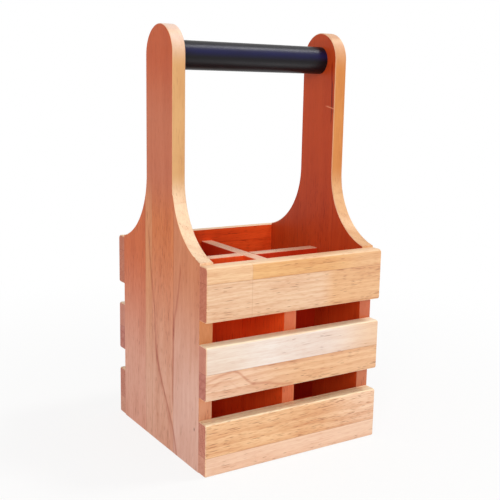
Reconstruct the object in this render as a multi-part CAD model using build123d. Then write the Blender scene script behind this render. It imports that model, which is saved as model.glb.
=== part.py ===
from build123d import *

import os

# A wooden kitchen caddy with a black carrying bar. Two side panels rise into round-topped arms; three
# slats lie across their front edges and three across their back edges. Two upright dividers, halved
# over each other, make four compartments over a floor board.
#
# Millimetres. +X runs along the slats and the bar, +Y to the back, +Z up. The origin lies under the
# middle of the caddy, on the surface that it stands on.

# Whole caddy
caddy_length = 160.0  # over the side panels' outer faces, which the slats' ends are flush with
panel_depth = 132.0  # side panels, front edge to back edge
total_height = 329.0  # to the crown of the arms

# Side panels
panel_board = 11.0  # thickness
arm_width = 44.5  # the arm's top is a half circle on this width
flare_radius = 57.0  # hollow curve from the arm out to the panel's front and back edges
arm_round = 1.0  # along the outer edges of the arms and flares
arm_bevel = 0.6  # along their inner edges

# Slats
slat_board = 11.0  # thickness
slat_height = 40.8
slat_gap = 18.0  # open space between one slat and the next
slat_round = 2.0  # round along a slat's outer long edges
rim_round = 3.0  # larger round along the top slats' upper outer edge, where hands reach in
slat_end_easing = 0.6  # bevel at both ends of a slat

# Dividers
divider_board = 11.0  # thickness
divider_drop = 10.0  # how far the dividers' tops lie below the slats' tops
divider_easing = 1.0  # round along the dividers' top edges
housing_depth = 2.5  # the lengthwise divider is let this far into each panel
housing_stop = 8.0  # the divider's upper corner covers the housing's closed end by this much

# Floor board
floor_thickness = 9.0
floor_lift = 4.0  # clear space under the floor board
tongue_depth = 2.5  # the floor board is let this far into each panel
groove_clearance = 3.0  # wood left between the end of the floor's groove and the dowel holes

# Carrying bar, a tube
bar_diameter = 22.0
bar_wall = 1.5
bar_seat = 5.0  # depth of the blind socket in each arm
bar_end_easing = 0.5  # chamfer at the tube's ends

# Fluted dowels, one at each end of a slat, halfway up it
dowel_diameter = 6.0  # over the ridges
dowel_ridges = 8
flute_depth = 0.35
dowel_in_slat = 6.5
dowel_in_panel = 12.0
hole_extra_depth = 0.5  # glue space past each end of a dowel

# Clearances, each on one side
glue_gap = 0.05  # around dowels and the bar
joint_gap = 0.1  # around tongues and in the halving joint

# Places that follow from the sizes
slat_levels = {"bottom": 0, "middle": 1, "top": 2}
half_length = caddy_length / 2
half_depth = panel_depth / 2
panel_inner_x = half_length - panel_board
panel_middle_x = half_length - panel_board / 2
slat_pitch = slat_height + slat_gap
slats_top = slat_levels["top"] * slat_pitch + slat_height
bar_height = total_height - arm_width / 2
floor_top = floor_lift + floor_thickness
divider_top = slats_top - divider_drop
divider_middle_z = (floor_top + divider_top) / 2

# A stopped housing or groove ends in the round that its cutter leaves, and its tongue stops short of it.
housing_width = divider_board + 2 * joint_gap
housing_end_z = divider_top - housing_stop
housing_tongue_top = housing_end_z - housing_width / 2
groove_width = floor_thickness + 2 * joint_gap
groove_length = panel_depth - 2 * (dowel_in_panel + hole_extra_depth + groove_clearance)
floor_tongue_length = groove_length - groove_width

TO_THE_FRONT = Rot(90, 0, 0)  # turns a cylinder's +Z axis to -Y
TO_THE_RIGHT = Rot(0, 90, 0)  # turns a cylinder's +Z axis to +X
FROM_ONE_END = (Align.CENTER, Align.CENTER, Align.MIN)


def rectangle_between(low, high):
    """Flat rectangle with opposite corners at low and high."""
    return Pos(*low) * Rectangle(high[0] - low[0], high[1] - low[1], align=Align.MIN)


def panel_outline():
    """Outline in Y and Z: a square foot, a hollow flare on each side and a round-topped arm."""
    arm_half = arm_width / 2
    flare_centre_z = slats_top + flare_radius
    reach = arm_half + flare_radius - half_depth
    shoulder_z = flare_centre_z - (flare_radius**2 - reach**2) ** 0.5
    with BuildSketch() as outline:
        with BuildLine():
            Polyline(
                (-half_depth, shoulder_z),
                (-half_depth, 0),
                (half_depth, 0),
                (half_depth, shoulder_z),
            )
            RadiusArc((half_depth, shoulder_z), (arm_half, flare_centre_z), flare_radius)
            Line((arm_half, flare_centre_z), (arm_half, bar_height))
            ThreePointArc((arm_half, bar_height), (0, total_height), (-arm_half, bar_height))
            Line((-arm_half, bar_height), (-arm_half, flare_centre_z))
            RadiusArc((-arm_half, flare_centre_z), (-half_depth, shoulder_z), flare_radius)
        make_face()
    return outline.sketch


def joinery_outlines():
    """Stopped groove for the floor board and stopped housing for the divider, in Y and Z."""
    groove = Pos(0, floor_lift + floor_thickness / 2) * SlotOverall(groove_length, groove_width)
    housing_height = housing_tongue_top - floor_top
    housing = Pos(0, floor_top + housing_height / 2) * SlotCenterToCenter(
        housing_height, housing_width, rotation=90
    )
    return groove, housing


def dowel_places(level):
    """Middle of each end of the slat at this level, where it lies on the panel's front edge."""
    middle_z = level * slat_pitch + slat_height / 2
    return [Pos(x, -half_depth, middle_z) for x in (-panel_middle_x, panel_middle_x)]


def dowel_holes(level):
    """Holes for one front slat's dowels, each running through the face between slat and panel."""
    depth = dowel_in_panel + dowel_in_slat + 2 * hole_extra_depth
    hole = Cylinder(dowel_diameter / 2 + glue_gap, depth, align=FROM_ONE_END)
    hole = Pos(0, dowel_in_panel + hole_extra_depth, 0) * TO_THE_FRONT * hole
    return [place * hole for place in dowel_places(level)]


def side_panel_right():
    """Board cut to the outline, eased along the arm, then grooved, housed, socketed and drilled."""
    inner_face = Plane.YZ.offset(panel_inner_x)
    panel = extrude(inner_face * panel_outline(), amount=panel_board)
    arm_edges = panel.edges().filter_by_position(Axis.Z, slats_top, total_height)
    panel = fillet(arm_edges.filter_by_position(Axis.X, half_length, half_length), arm_round)
    arm_edges = panel.edges().filter_by_position(Axis.Z, slats_top, total_height)
    panel = chamfer(arm_edges.filter_by_position(Axis.X, panel_inner_x, panel_inner_x), arm_bevel)

    groove, housing = joinery_outlines()
    panel -= extrude(inner_face * groove, amount=tongue_depth)
    panel -= extrude(inner_face * housing, amount=housing_depth)
    socket = Cylinder(bar_diameter / 2 + glue_gap, bar_seat, align=FROM_ONE_END)
    panel -= Pos(panel_inner_x, 0, bar_height) * TO_THE_RIGHT * socket

    for level in slat_levels.values():
        for hole in dowel_holes(level):
            panel -= [hole, mirror(hole, about=Plane.XZ)]
    return panel


def front_slat(level):
    """Board across the panels' front edges, rounded along its outer edges and bevelled at its ends."""
    outer_y = -half_depth - slat_board
    low_z = level * slat_pitch
    high_z = low_z + slat_height
    upper_round = rim_round if level == slat_levels["top"] else slat_round
    with BuildSketch() as section:
        with Locations((outer_y, low_z)):
            Rectangle(slat_board, slat_height, align=Align.MIN)
        for corner_z, radius in ((low_z, slat_round), (high_z, upper_round)):
            fillet(section.vertices().sort_by_distance((outer_y, corner_z))[0], radius)
    slat = extrude(Plane.YZ.offset(-half_length) * section.sketch, amount=caddy_length)
    end_edges = slat.faces().filter_by(Axis.X).edges()
    eased = end_edges.filter_by_position(Axis.Y, outer_y, -half_depth, inclusive=(True, False))
    slat = chamfer(eased, slat_end_easing)
    for hole in dowel_holes(level):
        slat -= hole
    return slat


def front_dowels(level):
    """Two fluted pins, each across the face between a panel and the slat at this level."""
    turns = [step / (2 * dowel_ridges) * 360 for step in range(2 * dowel_ridges)]
    ridge = Vector(dowel_diameter / 2, 0)
    flute = Vector(dowel_diameter / 2 - flute_depth, 0)
    rim = [(flute if step % 2 else ridge).rotate(Axis.Z, turn) for step, turn in enumerate(turns)]
    pin = extrude(make_face(Polyline(rim, close=True)), amount=dowel_in_panel + dowel_in_slat)
    pin = Pos(0, dowel_in_panel, 0) * TO_THE_FRONT * pin
    return Part() + [place * pin for place in dowel_places(level)]


def halving_slot(low_z, high_z):
    """Square prism at the crossing, a joint gap wider than the board that passes through it."""
    width = divider_board + 2 * joint_gap
    return Pos(0, 0, low_z) * Box(width, width, high_z - low_z, align=FROM_ONE_END)


def divider(outline, along):
    """Upright board of this outline, rounded along its two top edges, which run along this axis."""
    board = extrude(outline, amount=divider_board / 2, both=True)
    return fillet(board.edges().filter_by(along).group_by(Axis.Z)[-1], divider_easing)


def divider_lengthwise():
    """Divider with a tongue at each end, slotted from the top down to its middle."""
    tongue_x = panel_inner_x + housing_depth - joint_gap
    outline = rectangle_between((-panel_inner_x, floor_top), (panel_inner_x, divider_top))
    outline += rectangle_between((-tongue_x, floor_top), (tongue_x, housing_tongue_top))
    board = divider(Plane.XZ * outline, Axis.X)
    return board - halving_slot(divider_middle_z - joint_gap, divider_top)


def divider_crosswise():
    """Divider between the front and back slats, slotted from the bottom up to its middle."""
    outline = rectangle_between((-half_depth, floor_top), (half_depth, divider_top))
    board = divider(Plane.YZ * outline, Axis.Y)
    return board - halving_slot(floor_top, divider_middle_z + joint_gap)


def floor_board():
    """Board between the panels and the lowest slats, with a tongue that stops short of its corners."""
    tongue_x = panel_inner_x + tongue_depth - joint_gap
    tongue_y = floor_tongue_length / 2
    plan = rectangle_between((-panel_inner_x, -half_depth), (panel_inner_x, half_depth))
    plan += rectangle_between((-tongue_x, -tongue_y), (tongue_x, tongue_y))
    return extrude(Pos(0, 0, floor_lift) * plan, amount=floor_thickness)


def handle_bar():
    """Tube whose ends stand in the arms' sockets."""
    length = 2 * (panel_inner_x + bar_seat - joint_gap)
    tube = Cylinder(bar_diameter / 2, length)
    tube = chamfer(tube.edges().filter_by(GeomType.CIRCLE), bar_end_easing)
    tube -= Cylinder(bar_diameter / 2 - bar_wall, length)
    return Pos(0, 0, bar_height) * TO_THE_RIGHT * tube


def all_pieces():
    """Every piece of the caddy by name. The left and back pieces mirror the right and front ones."""
    panel = side_panel_right()
    pieces = {
        "side_panel_right": panel,
        "side_panel_left": mirror(panel, about=Plane.YZ),
        "floor_board": floor_board(),
        "divider_lengthwise": divider_lengthwise(),
        "divider_crosswise": divider_crosswise(),
        "handle_bar": handle_bar(),
    }
    for name, level in slat_levels.items():
        slat = front_slat(level)
        dowels = front_dowels(level)
        pieces[f"front_slat_{name}"] = slat
        pieces[f"back_slat_{name}"] = mirror(slat, about=Plane.XZ)
        pieces[f"front_slat_{name}_dowels"] = dowels
        pieces[f"back_slat_{name}_dowels"] = mirror(dowels, about=Plane.XZ)
    return pieces


os.makedirs("parts", exist_ok=True)
for piece_name, piece in all_pieces().items():
    export_step(piece, f"parts/{piece_name}.step")
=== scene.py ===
from dataclasses import dataclass
from math import cos, radians, sin

import bpy
import numpy as np
from mathutils import Matrix, Vector


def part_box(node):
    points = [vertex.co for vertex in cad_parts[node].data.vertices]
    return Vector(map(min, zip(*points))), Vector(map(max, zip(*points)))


# A wooden kitchen caddy with a black carrying bar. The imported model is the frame, in metres: +X
# runs along the slats and the bar, +Y to the back, +Z up. Every piece keeps its own mesh. Each
# board gets wood worked out from where a point lies in it: how far along the grain, across it and
# through it.

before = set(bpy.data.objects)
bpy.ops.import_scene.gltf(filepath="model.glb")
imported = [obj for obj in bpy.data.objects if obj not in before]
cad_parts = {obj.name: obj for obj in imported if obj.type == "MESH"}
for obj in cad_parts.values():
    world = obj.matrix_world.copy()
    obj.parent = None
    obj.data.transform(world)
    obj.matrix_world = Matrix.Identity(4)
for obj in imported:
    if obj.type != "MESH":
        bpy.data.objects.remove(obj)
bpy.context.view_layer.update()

MM_PER_M = 1000.0

# Camera, as it stood for the photograph
CAMERA_AZIMUTH = radians(-32.356)
CAMERA_ELEVATION = radians(10.909)
CAMERA_ROLL = radians(1.129)
CAMERA_DISTANCE = 0.69685
CAMERA_LENS_MM = 60.573
SENSOR_MM = 36.0
NEAREST_SEEN = 0.01
AIM_ASIDE = 0.003245  # the camera aims this far beside the caddy's middle
AIM_HEIGHT = 0.15138

# Floor and light
FLOOR_HALF_SIDE = 3.0
FLOOR_FADE = (0.12, 0.6)  # distance from the caddy over which the floor turns into the backdrop
FLOOR_GLOW = 0.84  # share of plain white in the floor as the camera sees it, next to its shadow
AMBIENT = 0.522


@dataclass
class Lamp:
    """Square soft lamp, and whether it adds to the matt light on things and to their gloss."""

    place: tuple
    side: float
    watts: float
    matt: bool = True
    gloss: bool = False


LAMPS = {
    "right_lamp": Lamp((0.66, -1.1, 0.14), side=0.3, watts=2.1),
    "front_lamp": Lamp((-1.0, -1.12, 0.62), side=0.5, watts=8.8),
    "top_lamp": Lamp((0.76, -0.3, 1.5), side=0.28, watts=8.5, gloss=True),
    "low_lamp": Lamp((0.24, -0.22, 0.03), side=0.16, watts=0.28, matt=False, gloss=True),
}


def screen_colour(red, green, blue):
    """Linear colour with alpha 1 of a colour as it shows on a screen, each part 0 to 255.

    A part is taken as a share of 255. A dark one is divided by 12.92, and any other is moved by
    0.055, scaled back to a share and raised to the power 2.4.
    """
    shown = np.array((red, green, blue)) / 255
    linear = np.where(shown <= 0.04045, shown / 12.92, ((shown + 0.055) / 1.055) ** 2.4)
    return (*linear.tolist(), 1.0)


WHITE = screen_colour(255, 255, 255)
FLOOR_WHITE = screen_colour(244, 243, 241)
BAR_BLACK = screen_colour(18, 15, 19)
# blue of a sheen painted on the bar as a reflection
BAR_BLUE_SHEEN = screen_colour(22, 22, 66)

# Wood tones of the slats
CREAM = screen_colour(238, 226, 216)
SHADED_CREAM = screen_colour(236, 220, 204)
PALE_PEACH = screen_colour(234, 199, 165)
WARM_PEACH = screen_colour(237, 202, 173)
WARM_TAN = screen_colour(234, 191, 149)
CLEAR_PEACH = screen_colour(238, 204, 177)
BAND_PEACH = screen_colour(238, 200, 158)
BAND_TAN = screen_colour(234, 186, 128)
ORANGE_TAN = screen_colour(230, 184, 137)
STRAW_TAN = screen_colour(237, 195, 150)
ROSE_PEACH = screen_colour(241, 206, 175)
# end-grain tones of the slats: darker as real end grain is, and darker and redder still as painted
# shade of ends that look sideways
ROSE_BROWN = screen_colour(200, 121, 92)
MAUVE_BROWN = screen_colour(209, 140, 119)
PALE_MAUVE = screen_colour(216, 154, 130)
DULL_MAUVE = screen_colour(199, 128, 112)

# Tones of the side panels, the boards inside and the dowels: wood, with painted light and shade
# where said below
# panel faces: the pale pinks at the foot are painted light bounced up from the floor; the tones
# above them are the staves' wood, redder than the edges partly as painted shade of faces that look
# sideways
PALE_PINK = screen_colour(232, 186, 168)
FLESH_PINK = screen_colour(230, 176, 150)
DUSTY_PINK = screen_colour(230, 170, 147)
LIGHT_TERRACOTTA = screen_colour(214, 136, 94)
AMBER_BROWN = screen_colour(217, 124, 68)
OLIVE_TAN = screen_colour(222, 148, 98)
TERRACOTTA = screen_colour(214, 108, 54)
ARM_ROSE = screen_colour(203, 114, 79)
ARM_RED = screen_colour(200, 92, 46)
# reds inside the caddy, on the panels' and slats' inner faces and on the dividers and floor board:
# painted shade and red bounced light; the low ones are darker still toward the bottom of the
# dividers
SHADE_RED_BROWN = screen_colour(198, 74, 28)
SHADE_ORANGE_RED = screen_colour(254, 96, 38)
SHADE_LOW_ORANGE = screen_colour(230, 88, 34)
SHADE_DEEP_RED = screen_colour(214, 58, 24)
SHADE_LOW_RED = screen_colour(174, 44, 20)
BEECH = screen_colour(226, 190, 150)

# Tones of sawn edges, most of them paler or darker as painted light or shade, as said at each group
# below
# painted highlight along the rounded edges of every board
EDGE_HIGHLIGHT_TONE = screen_colour(250, 216, 176)
# narrow edges of the top, middle and bottom slats, paler than their wood as painted light on the
# upper edges
CREAM_LIT_EDGE = screen_colour(255, 222, 180)
PALEST_LIT_EDGE = screen_colour(255, 244, 214)
STRAW_LIT_EDGE = screen_colour(255, 240, 204)
# edges of the left panel, and their rust-toned match on the right one: the crown and flare tones
# are paler as painted light where the edge faces up, and the gap tones darker as painted shade
# between the slats
CROWN_EDGE = screen_colour(243, 214, 195)
FLARE_EDGE = screen_colour(249, 219, 184)
TAN_EDGE = screen_colour(215, 166, 112)
FOOT_EDGE = screen_colour(213, 152, 118)
GAP_EDGE = screen_colour(206, 139, 92)
RUST_CROWN = screen_colour(226, 178, 141)
RUST_FLARE = screen_colour(232, 185, 137)
RUST_EDGE = screen_colour(213, 139, 76)
RUST_FOOT = screen_colour(199, 123, 88)
RUST_GAP = screen_colour(195, 101, 60)
# inner boards: edges in a painted shade of the caddy's inside, and end grain pale as painted light
# on the divider tops, which face up
SHADE_DIVIDER_EDGE = screen_colour(214, 116, 76)
LIT_DIVIDER_TOP = screen_colour(255, 208, 174)

# Tints that darken the wood they are laid over, and one that covers it
LATEWOOD = screen_colour(222, 172, 140)
STREAK = screen_colour(222, 180, 152)
VEIN_BROWN = screen_colour(206, 138, 112)
KNOT_BROWN = screen_colour(120, 70, 60)
PORE = screen_colour(160, 104, 74)
GLUE = screen_colour(186, 130, 100)
SCRATCH = screen_colour(236, 150, 110)

# Figure of the wood, in millimetres. A size is a length along the grain and a breadth the other two
# ways. A range is the two levels between which a thing goes from nothing to its whole.
FACING_RANGE = (0.6, 0.85)  # how squarely a surface looks along an axis
OUTWARD_RANGE = (0.5, 0.8)  # how squarely it looks one way along that axis
STAVE_BLUR = 0.15  # each side of a glue line
STAVE_STEP = 37.0  # from one stave's place in the noises to the next one's
STAVE_SLIDE = 3.0  # how many of those steps it also slides along the grain
SWAY_SIZE = (110.0, 30.0)  # slow bends that rings, pores and streaks share
RING_SWAY = 9.0  # how far across they move the rings, and so on
PORE_SWAY = 6.0
STREAK_SWAY = 5.0
RIPPLE_SIZE = (50.0, 8.0)
RIPPLE = 1.1  # how far it moves the rings, in rings
LATEWOOD_RISE = (0.2, 0.85)  # shares of a ring over which it darkens, and over which it ends
LATEWOOD_FALL = (0.88, 1.0)
PATCH_SIZE = (55.0, 11.0)
PATCH_RANGE = (0.35, 0.75)
PATCH_SHARE = 0.3
STREAK_SIZE = (34.0, 1.1)
STREAK_DETAIL = 3.0
STREAK_RANGE = (0.42, 0.75)
FLECK_SIZE = (7.0, 0.8)
FLECK_DETAIL = 1.0
FLECK_RANGE = (0.45, 0.8)
FLECK_SHARE = 1.3  # strength next to the streaks'
PORE_KINDS = ((20.0, 1.0, 0.98), (9.0, 0.7, 0.93))  # length, breadth and the luck that one needs
PORE_BLUR = 0.06  # how much more luck makes a pore whole
PORE_EDGE = (0.1, 0.3)  # how far from the middle of its cell a pore ends
FAINTEST_PORE = 0.3
DENSER_SHARE = 0.35  # how much luck the denser part of a stave adds
DENSER_WITHIN = 10.0
PATCH_PORES = 1.2  # how much luck a patch adds
NOWHERE = 1000.0  # a place along past the end of any board
VEIN_STRAY_SIZE = (14.0, 14.0)
VEIN_FADE = 0.08  # share of its length over which a vein fades each side of its ends
SHORTEST_FADE = 1.0
CALM_SHARE = 0.7  # how much of the figure is gone where it is calm
# strength of the highlight painted along rounded edges
EDGE_HIGHLIGHT_SHARE = 1.1
RIM_BLEND = 14.0  # each side of the place where a rim's tone turns
GLUE_LINE_RANGE = (0.08, 0.35)
GLUE_LINE_SHARE = 0.45
BUTT_RANGE = (0.05, 0.4)
BUTT_SHARE = 0.25
STREAK_HEIGHT = 0.15  # next to a pore's depth
FLECK_HEIGHT = 0.25
WOOD_RELIEF = {"Strength": 0.35, "Distance": 0.00012}  # the distance is in metres
WOOD_SPECULAR = 0.2
WOOD_ROUGHNESS = 0.44
FLECK_ROUGHNESS = 0.08
PORE_ROUGHNESS = 0.2

# Where the tones turn along the narrow edges of a side panel, with painted shade in the slat gaps
# and painted light on the flare and crown
GAP_EDGE_FROM = 0.4  # share of the way from the foot to the shoulder
FLARE_EDGE_BELOW = 0.018  # metres below the shoulder
ARM_EDGE_FROM = 0.33  # share of the way from the shoulder to the bar
CROWN_ABOVE_BAR = 0.004  # metres above the bar's middle

# Coating of the bar, with a blue sheen painted into its colour as a reflection
PEEL_PER_M = (1400.0, 1400.0, 1400.0)  # lumps in a metre along X, Y and Z
CLOUD_PER_M = (60.0, 160.0, 160.0)
SHEEN_RISE = (-2.0, 3.5)  # millimetres above the bar's middle where the blue comes and goes
SHEEN_FALL = (4.0, 9.5)
LEAST_SHEEN = 0.5
CLOUD_SHEEN = 0.6
COATING_RELIEF = {"Strength": 0.2, "Distance": 0.00005}
COATING_SPECULAR = 0.205
COATING_ROUGHNESS = 0.34
CLOUD_ROUGHNESS = 0.1


def both_ways(operation):
    """The two forms of an operator on a wire: with the wire on its left, and on its right."""

    def from_left(wire, other):
        return wire.finish.math(operation, wire, other)

    def from_right(wire, other):
        return wire.finish.math(operation, other, wire)

    return from_left, from_right


class Wire:
    """An output of a node. Python's operators on it add Math nodes to its material."""

    def __init__(self, finish, node, output):
        self.finish = finish
        self.node = node
        self.name = output

    @property
    def socket(self):
        return self.node.outputs[self.name]

    def output(self, name):
        """Another output of the same node."""
        return Wire(self.finish, self.node, name)

    def __abs__(self):
        return self.finish.math("ABSOLUTE", self)

    __add__, __radd__ = both_ways("ADD")
    __sub__, __rsub__ = both_ways("SUBTRACT")
    __mul__, __rmul__ = both_ways("MULTIPLY")
    __truediv__, __rtruediv__ = both_ways("DIVIDE")
    __pow__, __rpow__ = both_ways("POWER")


class Finish:
    """The nodes of a material or of the world, as they are added."""

    def __init__(self, owner):
        owner.use_nodes = True
        self.owner = owner
        self.tree = owner.node_tree
        self.tree.nodes.clear()

    def node(self, kind, settings, inputs, output=0):
        """Adds a node of this type, sets it up, then gives its sockets their values or links."""
        made = self.tree.nodes.new(kind)
        for name, value in settings.items():
            setattr(made, name, value)
        for name, value in inputs.items():
            if isinstance(value, Wire):
                self.tree.links.new(value.socket, made.inputs[name])
            else:
                made.inputs[name].default_value = value
        return Wire(self, made, output)

    def math(self, operation, *sides):
        return self.node("ShaderNodeMath", {"operation": operation}, dict(enumerate(sides)))

    def place(self):
        """Where a point of the surface is, in metres. The same node also gives its normal."""
        return self.node("ShaderNodeTexCoord", {}, {}, output="Object")

    def point(self, x, y, z):
        return self.node("ShaderNodeCombineXYZ", {}, {"X": x, "Y": y, "Z": z})

    def parts(self, vector):
        """The three parts of a vector by their axis."""
        split = self.node("ShaderNodeSeparateXYZ", {}, {"Vector": vector})
        return {axis: split.output(axis) for axis in "XYZ"}

    def noise(self, point, detail=2.0):
        """Noise from 0 to 1, whose lumps are about one unit wide on this point's scale."""
        sockets = {"Vector": point, "Scale": 1.0, "Detail": detail}
        return self.node("ShaderNodeTexNoise", {}, sockets)

    def rise(self, value, low, high):
        """0 below low, 1 above high, and a smooth step from one to the other."""
        sockets = {"Value": value, "From Min": low, "From Max": high}
        return self.node("ShaderNodeMapRange", {"interpolation_type": "SMOOTHSTEP"}, sockets)

    def fall(self, value, low, high):
        """1 below low, 0 above high, and a smooth step from one to the other."""
        return 1 - self.rise(value, low, high)

    def mix(self, share, under, over, blend="MIX"):
        """Colour with this share of the other colour laid over it."""
        settings = {"data_type": "RGBA", "blend_type": blend}
        return self.node("ShaderNodeMix", settings, {0: share, 6: under, 7: over}, output=2)

    def choose(self, masks, values):
        """A number that is the first value, and changes to the next one at each mask."""
        chosen = values[0]
        for mask, before, after in zip(masks, values, values[1:]):
            chosen = chosen + mask * (after - before)
        return chosen

    def choose_colour(self, masks, colours):
        """A colour that is the first one, and changes to the next one at each mask."""
        chosen = colours[0]
        for mask, colour in zip(masks, colours[1:]):
            chosen = self.mix(mask, chosen, colour)
        return chosen

    def surface(self, colour, roughness, specular, relief, height):
        """Ends a material in one shader, with this height as its relief."""
        bump = self.node("ShaderNodeBump", {}, {**relief, "Height": height})
        shader = self.node("ShaderNodeBsdfPrincipled", {}, {
            "Base Color": colour, "Roughness": roughness, "Specular IOR Level": specular,
            "Normal": bump})
        self.node("ShaderNodeOutputMaterial", {}, {"Surface": shader})
        return self.owner


@dataclass
class Stave:
    """One strip of a glued-up board, with its figure. Lengths are in millimetres."""

    upto: float  # share of the board's width where it ends
    tone: tuple
    turns: tuple = ()  # places along between which the tone turns to another, and that tone
    # end grain's tone: darker as end grain is, and partly painted shade of ends that look sideways
    end_tone: tuple = ROSE_BROWN  # on end grain
    pith_side: float = 150.0  # how far the rings' middle lies across from the board's middle
    pith_behind: float = 40.0  # and how far behind it
    ring: float = 3.6  # from one growth ring to the next
    lean: float = 0.0  # how far the rings run across for each millimetre along
    rings: float = 0.25  # strength of the rings
    streaks: float = 0.3  # strength of the streaks and flecks
    pores: float = 0.3  # share of pores
    denser_from: float = NOWHERE  # place along from which pores are denser


@dataclass
class Vein:
    """A line in the figure that bends from its first place to its last like a long S.

    A place is its distance along the grain from the board's middle and its distance across the
    board from the board's low edge, in millimetres.
    """

    first: tuple
    last: tuple
    half_breadth: float = 1.4
    strength: float = 0.5
    tint: tuple = VEIN_BROWN
    blend: str = "MULTIPLY"  # how the tint is laid over the wood
    wander: float = 2.0  # how far its bends stray
    face: int = 0  # 1 or -1 where it shows only on the broad face that looks that way


class Board:
    """Wires over one board: where a point lies in it, and how strong each part of its figure is.

    Places are in millimetres: along the grain and deep through the board from the board's middle,
    and across it from the low edge.
    """

    def __init__(self, finish, node, grain, width, staves):
        low, high = (dict(zip("XYZ", corner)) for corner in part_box(node))
        depth = next(axis for axis in "XYZ" if axis not in (grain, width))
        surface = finish.place()
        place = finish.parts(surface)
        normal = finish.parts(surface.output("Normal"))
        self.finish = finish
        self.staves = staves
        self.facing_out = normal[depth]
        self.facing = {
            name: finish.rise(abs(normal[axis]), *FACING_RANGE)
            for name, axis in (("grain", grain), ("width", width), ("depth", depth))
        }
        self.along = (place[grain] - (low[grain] + high[grain]) / 2) * MM_PER_M
        self.across = (place[width] - low[width]) * MM_PER_M
        self.deep = (place[depth] - (low[depth] + high[depth]) / 2) * MM_PER_M
        breadth = (high[width] - low[width]) * MM_PER_M
        self.middle = breadth / 2
        self.glue_lines = [stave.upto * breadth for stave in staves[:-1]]
        self.masks = [
            finish.rise(self.across, line - STAVE_BLUR, line + STAVE_BLUR)
            for line in self.glue_lines
        ]
        self.own = finish.choose(self.masks, [STAVE_STEP * count for count in range(len(staves))])
        self.sway = finish.noise(self.stretched(*SWAY_SIZE)) - 0.5

    def pick(self, name):
        """The staves' own values of this name, each over its stave."""
        return self.finish.choose(self.masks, [getattr(stave, name) for stave in self.staves])

    def stretched(self, length, breadth, sway=0.0):
        """Point whose unit is this long along the grain and this broad the other two ways."""
        across = self.across + self.sway * sway if sway else self.across
        return self.finish.point(
            (self.along + self.own * STAVE_SLIDE) * (1 / length),
            across * (1 / breadth),
            self.deep * (1 / breadth) + self.own,
        )

    def looks(self, way):
        """1 on the broad face that looks this way along the board's depth, 1 or -1."""
        return self.finish.rise(self.facing_out * way, *OUTWARD_RANGE)

    def edge_highlight(self):
        """1 along the rounded edges between the board's faces, where a highlight is painted."""
        rounded = 1 - self.facing["depth"]
        for name in ("grain", "width"):
            rounded = rounded * (1 - self.facing[name])
        return rounded

    def late_wood(self):
        """Growth rings as cylinders about each stave's pith: 1 on their dark side."""
        finish = self.finish
        side = self.across - (self.pick("pith_side") + self.middle) + self.along * self.pick("lean")
        side = side + self.sway * RING_SWAY
        behind = self.deep + self.pick("pith_behind")
        radius = (side * side + behind * behind) ** 0.5
        ripple = finish.noise(self.stretched(*RIPPLE_SIZE))
        turn = finish.math("FRACT", radius / self.pick("ring") + ripple * RIPPLE)
        return finish.rise(turn, *LATEWOOD_RISE) * finish.fall(turn, *LATEWOOD_FALL)

    def pores(self, patch):
        """Dashes along the grain, in cells of two sizes: 1 in their middle. More are in patches."""
        finish = self.finish
        past = self.along - self.pick("denser_from")
        dense = finish.rise(past, 0.0, DENSER_WITHIN) * DENSER_SHARE
        pores = 0.0
        for length, breadth, needed in PORE_KINDS:
            cells = finish.node("ShaderNodeTexVoronoi", {}, {
                "Vector": self.stretched(length, breadth, PORE_SWAY), "Scale": 1.0})
            draws = finish.parts(cells.output("Color"))
            luck = draws["X"] + self.pick("pores") + dense + (patch - 0.5) * PATCH_PORES
            depth = draws["Y"] * (1 - FAINTEST_PORE) + FAINTEST_PORE
            kept = finish.rise(luck, needed, needed + PORE_BLUR) * depth
            pores = finish.math("MAXIMUM", pores, finish.fall(cells, *PORE_EDGE) * kept)
        return pores

    def near(self, vein):
        """1 on a vein, 0 off it."""
        finish = self.finish
        (start, start_across), (end, end_across) = vein.first, vein.last
        line = finish.rise(self.along, start, end) * (end_across - start_across) + start_across
        stray = finish.noise(self.stretched(*VEIN_STRAY_SIZE)) - 0.5
        off = abs(self.across - line + stray * vein.wander)
        fade = max(SHORTEST_FADE, (end - start) * VEIN_FADE)
        on = finish.rise(self.along, start - fade, start + fade)
        on = on * finish.fall(self.along, end - fade, end + fade)
        if vein.face:
            on = on * self.looks(vein.face)
        return on * finish.fall(off, 0.0, vein.half_breadth)

    def plain_tone(self):
        """The staves' tones, each turning to others along the grain."""
        finish = self.finish
        tones = []
        for stave in self.staves:
            masks = [finish.rise(self.along, start, end) for start, end, tone in stave.turns]
            turned = [tone for start, end, tone in stave.turns]
            tones.append(finish.choose_colour(masks, [stave.tone, *turned]))
        return finish.choose_colour(self.masks, tones)

    def bare_tone(self, rim, rim_turns, inner, ends):
        """Tones of its faces, narrow edges and ends, with a highlight painted along its rounded
        edges and no figure over them.
        """
        finish = self.finish
        tone = self.plain_tone()
        # the inner face's tone is a painted shade of the caddy's inside
        if inner:
            way, inner_tone = inner
            tone = finish.mix(self.looks(way), tone, inner_tone)
        masks = [
            finish.rise(self.along, start - RIM_BLEND, start + RIM_BLEND)
            for start, turned in rim_turns
        ]
        rim_tone = finish.choose_colour(masks, [rim, *(turned for start, turned in rim_turns)])
        tone = finish.mix(1 - self.facing["depth"], tone, rim_tone)
        if ends:
            end_tone = finish.choose_colour(self.masks, [stave.end_tone for stave in self.staves])
            tone = finish.mix(self.facing["grain"], tone, end_tone)
        return finish.mix(self.edge_highlight() * EDGE_HIGHLIGHT_SHARE, tone, EDGE_HIGHLIGHT_TONE)


def dress(node, material):
    """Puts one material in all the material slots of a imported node."""
    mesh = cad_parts[node].data
    mesh.materials.clear()
    mesh.materials.append(material)


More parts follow.
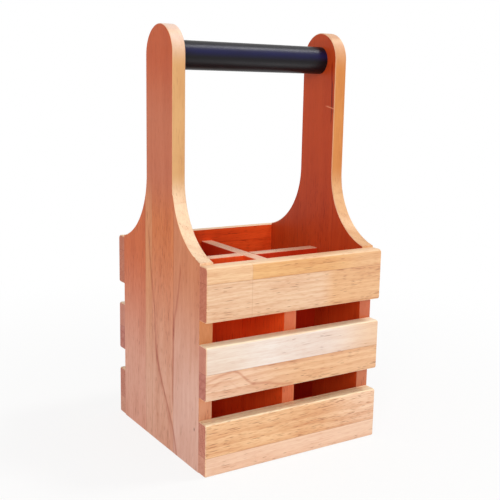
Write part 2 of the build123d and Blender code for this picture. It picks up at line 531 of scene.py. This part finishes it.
def dress_board(node, grain, width, staves, rim, rim_turns=(), inner=None, ends=True, veins=(),
                calm=None, butts=()):
    """Dresses a board in oiled wood, with the growth rings, streaks and pores of its staves.

    grain and width are the axes that the grain runs along and that the staves lie side by side
    along. rim is the tone of the narrow edges, and rim_turns are further tones, each from its place
    along on; most callers' rim tones hold painted light or shade. inner is the way the board's
    inner face looks along its depth, 1 or -1, and that face's tone, which is a painted shade. ends
    says that the board shows end grain. Between the two places of calm the figure fades. butts are
    places along where strips meet end to end.
    """
    finish = Finish(bpy.data.materials.new(f"{node}_wood"))
    board = Board(finish, node, grain, width, staves)
    figure = 1 - finish.rise(board.along, *calm) * CALM_SHARE if calm else 1.0
    tone = board.bare_tone(rim, rim_turns, inner, ends)

    patch = finish.noise(board.stretched(*PATCH_SIZE))
    fine = finish.noise(board.stretched(*STREAK_SIZE, STREAK_SWAY), STREAK_DETAIL)
    streak = finish.rise(fine, *STREAK_RANGE)
    fleck = finish.rise(finish.noise(board.stretched(*FLECK_SIZE), FLECK_DETAIL), *FLECK_RANGE)
    pores = board.pores(patch) * figure
    for share, tint in (
        (finish.rise(patch, *PATCH_RANGE) * PATCH_SHARE, STREAK),
        (board.late_wood() * board.pick("rings") * figure, LATEWOOD),
        (streak * board.pick("streaks") * figure, STREAK),
        (fleck * board.pick("streaks") * FLECK_SHARE * figure, STREAK),
        (pores, PORE),
    ):
        tone = finish.mix(share, tone, tint, "MULTIPLY")
    for vein in veins:
        tone = finish.mix(board.near(vein) * vein.strength, tone, vein.tint, vein.blend)
    for line in board.glue_lines:
        seam = finish.fall(abs(board.across - line), *GLUE_LINE_RANGE) * (1 - board.facing["width"])
        tone = finish.mix(seam * GLUE_LINE_SHARE * figure, tone, GLUE, "MULTIPLY")
    for place in butts:
        seam = finish.fall(abs(board.along - place), *BUTT_RANGE)
        tone = finish.mix(seam * BUTT_SHARE, tone, GLUE, "MULTIPLY")

    roughness = WOOD_ROUGHNESS + fleck * FLECK_ROUGHNESS + pores * PORE_ROUGHNESS
    height = streak * STREAK_HEIGHT + fleck * FLECK_HEIGHT - pores
    dress(node, finish.surface(tone, roughness, WOOD_SPECULAR, WOOD_RELIEF, height))


def dress_slats():
    """Front slats as the photograph shows them, and back ones in wood of the same kinds."""
    top = [
        Stave(0.70, PALE_PEACH, ((18.0, 36.0, ORANGE_TAN),), pores=0.2, denser_from=22.0, rings=0.2,
              pith_side=-90.0, pith_behind=60.0, lean=0.02),
        Stave(1.0, BAND_PEACH, ((-42.2, -41.6, BAND_TAN), (20.0, 70.0, ORANGE_TAN)), pores=0.1,
              rings=0.2, pith_side=60.0, pith_behind=80.0),
    ]
    middle = [
        Stave(0.5, WARM_PEACH, ((-60.0, 10.0, WARM_TAN),), DULL_MAUVE, pores=0.2, denser_from=-5.0,
              rings=0.3, streaks=0.25, pith_side=-40.0, pith_behind=30.0, ring=5.0),
        Stave(1.0, SHADED_CREAM, ((-70.0, -20.0, CREAM), (20.0, 80.0, PALE_PEACH)), MAUVE_BROWN,
              pores=0.0, rings=0.1, streaks=0.15, pith_side=80.0, pith_behind=70.0),
    ]
    bottom = [
        Stave(0.37, CLEAR_PEACH, (), PALE_MAUVE, pores=0.12, rings=0.12, streaks=0.2,
              pith_side=-80.0, pith_behind=50.0),
        Stave(1.0, STRAW_TAN, ((10.0, 75.0, ROSE_PEACH),), MAUVE_BROWN, pores=0.7, rings=0.3,
              streaks=0.4, pith_side=24.0, pith_behind=30.0, ring=4.5),
    ]
    arches = (
        Vein((-96.0, 12.0), (-57.0, 20.0), half_breadth=1.8, strength=0.35, wander=0.8),
        Vein((-86.0, 7.0), (-64.0, 14.6), half_breadth=1.6, strength=0.25, wander=0.8),
        Vein((-64.0, 14.4), (-50.0, 6.0), half_breadth=1.6, strength=0.12, wander=0.8),
        Vein((-57.0, 19.8), (-38.0, 7.5), half_breadth=2.0, strength=0.42, wander=0.6),
        Vein((-41.0, 7.9), (-4.0, 2.2), half_breadth=1.8, strength=0.38, wander=0.8),
        Vein((-47.0, 6.0), (-20.0, 0.5), half_breadth=1.6, strength=0.15, wander=0.8),
        Vein((-40.0, 19.4), (-10.0, 18.4), half_breadth=2.2, strength=0.25, wander=1.6),
        Vein((-10.0, 18.4), (46.0, 19.0), half_breadth=2.0, strength=0.22, wander=1.8),
    )
    for level, staves, rim, veins, butts in (
        ("top", top, CREAM_LIT_EDGE, (), (-42.0,)),
        ("middle", middle, PALEST_LIT_EDGE, arches, ()),
        ("bottom", bottom, STRAW_LIT_EDGE, (), ()),
    ):
        for side, way in (("front", 1), ("back", -1)):
            # each slat's rim is paler as painted light on its upper edges, and its inner face is a
            # painted shade of red
            dress_board(f"{side}_slat_{level}", "X", "Z", staves, rim, inner=(way, SHADE_ORANGE_RED),
                        veins=veins, butts=butts)


def dress_side_panels():
    """Side panels with upright grain, whose staves blend into one red-brown in the arms. Their
    faces are paler at the foot as painted light bounced up from the floor, and redder than their
    edges partly as painted shade.
    """
    arm = ((10.0, 55.0, ARM_ROSE), (90.0, 145.0, ARM_RED))
    staves = [
        Stave(0.309, PALE_PINK, ((-125.0, -5.0, LIGHT_TERRACOTTA), *arm), pores=0.1, rings=0.12,
              streaks=0.2, pith_side=-140.0, pith_behind=60.0, ring=6.0),
        Stave(0.592, FLESH_PINK, ((-125.0, 15.0, AMBER_BROWN), *arm), denser_from=-74.0, rings=0.2,
              pith_side=60.0, pith_behind=70.0, ring=14.0),
        Stave(0.682, FLESH_PINK, ((-125.0, -15.0, OLIVE_TAN), *arm), pores=0.15, rings=0.15,
              streaks=0.25),
        Stave(1.0, DUSTY_PINK, ((-125.0, -5.0, TERRACOTTA), *arm), pores=0.15, rings=0.15),
    ]
    flames = (
        Vein((-170.0, 35.0), (-78.0, 72.0), half_breadth=2.6, strength=0.65),
        Vein((-170.0, 39.0), (-84.0, 70.0), half_breadth=5.0, strength=0.3),
        Vein((-78.0, 72.0), (10.0, 84.0), half_breadth=2.0, strength=0.5),
        Vein((-125.0, 42.0), (-52.0, 41.0), half_breadth=2.4, strength=0.6),
        Vein((-72.0, 40.5), (-12.0, 30.0), half_breadth=2.2, strength=0.5),
        Vein((-133.6, 6.6), (-131.4, 6.6), half_breadth=1.1, strength=1.0, tint=KNOT_BROWN,
             wander=0.0),
    )
    marks = (
        Vein((100.0, 45.6), (140.0, 48.6), half_breadth=1.8, strength=0.9),
        Vein((92.0, 47.6), (124.0, 47.0), half_breadth=0.9, strength=0.9, tint=KNOT_BROWN),
        Vein((102.6, 43.0), (105.0, 53.0), half_breadth=4.0, strength=1.0, tint=SCRATCH,
             blend="MIX", wander=0.0, face=-1),
    )
    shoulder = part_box("front_slat_top")[1].z
    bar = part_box("handle_bar")
    bar_height = (bar[0].z + bar[1].z) / 2
    for node, way, veins, foot, gap_edge, flare, arm_edge, crown in (
        ("side_panel_left", 1, flames, FOOT_EDGE, GAP_EDGE, FLARE_EDGE, TAN_EDGE, CROWN_EDGE),
        ("side_panel_right", -1, marks, RUST_FOOT, RUST_GAP, RUST_FLARE, RUST_EDGE, RUST_CROWN),
    ):
        low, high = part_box(node)
        middle = (low.z + high.z) / 2
        # edge tones by height: painted shade in the slat gaps, painted light on the flare and crown
        rim_turns = [
            ((height - middle) * MM_PER_M, tone)
            for height, tone in (
                (low.z + (shoulder - low.z) * GAP_EDGE_FROM, gap_edge),
                (shoulder - FLARE_EDGE_BELOW, flare),
                (shoulder + (bar_height - shoulder) * ARM_EDGE_FROM, arm_edge),
                (bar_height + CROWN_ABOVE_BAR, crown),
            )
        ]
        dress_board(node, "Z", "Y", staves, foot, rim_turns, inner=(way, SHADE_RED_BROWN), ends=False,
                    veins=veins, calm=(10.0, 60.0))


def dress_inner_boards():
    """Dividers and floor board, in a red that is painted shade and red bounced light of the caddy's
    inside, darker toward the bottom of the dividers. Their end grain is pale as painted light on
    the divider tops.
    """
    staves = [
        Stave(0.47, SHADE_LOW_ORANGE, ((-25.0, 5.0, SHADE_ORANGE_RED),), LIT_DIVIDER_TOP, rings=0.1, streaks=0.2),
        Stave(1.0, SHADE_LOW_RED, ((-25.0, 5.0, SHADE_DEEP_RED),), LIT_DIVIDER_TOP, rings=0.1, streaks=0.2),
    ]
    for node, grain, width in (
        ("divider_lengthwise", "Z", "X"), ("divider_crosswise", "Z", "Y"), ("floor_board", "X", "Y")
    ):
        dress_board(node, grain, width, staves, SHADE_DIVIDER_EDGE)


def dress_dowels():
    """Dowels: pale beech, grain along Y."""
    staves = [Stave(1.0, BEECH, ring=1.5, pores=0.1)]
    for side in ("front", "back"):
        for level in ("top", "middle", "bottom"):
            dress_board(f"{side}_slat_{level}_dowels", "Y", "Z", staves, BEECH, ends=False)


def black_coating(name, node):
    """Half-gloss black coating with faint orange peel, and a blue sheen painted into its colour as
    a reflection, in a band above the bar's middle.
    """
    finish = Finish(bpy.data.materials.new(name))
    low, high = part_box(node)
    place = finish.parts(finish.place())
    height = (place["Z"] - (low.z + high.z) / 2) * MM_PER_M
    peel, cloud = (
        finish.noise(finish.point(*(place[axis] * count for axis, count in zip("XYZ", counts))))
        for counts in (PEEL_PER_M, CLOUD_PER_M)
    )
    # painted reflection: a blue sheen in a band above the bar's middle, clouded
    band = finish.rise(height, *SHEEN_RISE) * finish.fall(height, *SHEEN_FALL)
    colour = finish.mix(band * (cloud * CLOUD_SHEEN + LEAST_SHEEN), BAR_BLACK, BAR_BLUE_SHEEN)
    roughness = COATING_ROUGHNESS + cloud * CLOUD_ROUGHNESS
    return finish.surface(colour, roughness, COATING_SPECULAR, COATING_RELIEF, peel)


def seen_directly(finish):
    """1 for what the camera sees, straight, in a gloss or through glass. 0 for other light."""
    path = finish.node("ShaderNodeLightPath", {}, {}, output="Is Camera Ray")
    either = finish.math("MAXIMUM", path, path.output("Is Glossy Ray"))
    return finish.math("MAXIMUM", either, path.output("Is Transmission Ray"))


def floor_paint():
    """Pale matt floor: it keeps the caddy's shadow, and turns into the backdrop further out."""
    finish = Finish(bpy.data.materials.new("floor_paint"))
    away = finish.node("ShaderNodeVectorMath", {"operation": "LENGTH"}, {0: finish.place()},
                       output="Value")
    matt = finish.node("ShaderNodeBsdfDiffuse", {}, {"Color": FLOOR_WHITE})
    glow = finish.node("ShaderNodeEmission", {}, {"Color": WHITE, "Strength": 1.0})
    share = seen_directly(finish) * (finish.rise(away, *FLOOR_FADE) * (1 - FLOOR_GLOW) + FLOOR_GLOW)
    shader = finish.node("ShaderNodeMixShader", {}, {0: share, 1: matt, 2: glow})
    finish.node("ShaderNodeOutputMaterial", {}, {"Surface": shader})
    return finish.owner


def make_floor():
    """Flat square at the height that the caddy stands at."""
    half = FLOOR_HALF_SIDE
    corners = [(-half, -half, 0.0), (half, -half, 0.0), (half, half, 0.0), (-half, half, 0.0)]
    mesh = bpy.data.meshes.new("floor")
    mesh.from_pydata(corners, [], [(0, 1, 2, 3)])
    mesh.materials.append(floor_paint())
    floor = bpy.data.objects.new("floor", mesh)
    bpy.context.scene.collection.objects.link(floor)


def make_backdrop():
    """World: soft even light on the caddy, and plain white where the camera sees it."""
    world = bpy.data.worlds.new("backdrop")
    bpy.context.scene.world = world
    finish = Finish(world)
    soft = finish.node("ShaderNodeBackground", {}, {"Color": WHITE, "Strength": AMBIENT})
    plain = finish.node("ShaderNodeBackground", {}, {"Color": WHITE, "Strength": 1.0})
    shader = finish.node("ShaderNodeMixShader", {}, {0: seen_directly(finish), 1: soft, 2: plain})
    finish.node("ShaderNodeOutputWorld", {}, {"Surface": shader})


def make_lamp(name, lamp):
    """Hangs one lamp, turned to the middle of the caddy."""
    data = bpy.data.lights.new(name, "AREA")
    data.size = lamp.side
    data.energy = lamp.watts
    hung = bpy.data.objects.new(name, data)
    hung.location = lamp.place
    towards = Vector((0, 0, AIM_HEIGHT)) - Vector(lamp.place)
    hung.rotation_euler = towards.to_track_quat("-Z", "Y").to_euler()
    hung.visible_camera = False
    hung.visible_diffuse = lamp.matt
    hung.visible_glossy = lamp.gloss
    bpy.context.scene.collection.objects.link(hung)


def make_camera():
    """Camera on a sphere about its aim, turned by its roll."""
    east = Vector((cos(CAMERA_AZIMUTH), sin(CAMERA_AZIMUTH), 0))
    level = cos(CAMERA_ELEVATION)
    back = Vector((east.y * level, -east.x * level, sin(CAMERA_ELEVATION)))
    up = back.cross(east)
    right = east * cos(CAMERA_ROLL) + up * sin(CAMERA_ROLL)
    axes = Matrix((right, back.cross(right), back)).transposed()
    data = bpy.data.cameras.new("camera")
    data.lens = CAMERA_LENS_MM
    data.sensor_width = SENSOR_MM
    data.clip_start = NEAREST_SEEN
    camera = bpy.data.objects.new("camera", data)
    aim = east * AIM_ASIDE + Vector((0, 0, AIM_HEIGHT))
    camera.matrix_world = Matrix.Translation(aim + back * CAMERA_DISTANCE) @ axes.to_4x4()
    bpy.context.scene.collection.objects.link(camera)
    bpy.context.scene.camera = camera


dress_slats()
dress_side_panels()
dress_inner_boards()
dress_dowels()
dress("handle_bar", black_coating("bar_coating", "handle_bar"))
make_floor()
make_backdrop()
for lamp_name, lamp in LAMPS.items():
    make_lamp(lamp_name, lamp)
make_camera()
bpy.context.scene.view_settings.view_transform = "Standard"
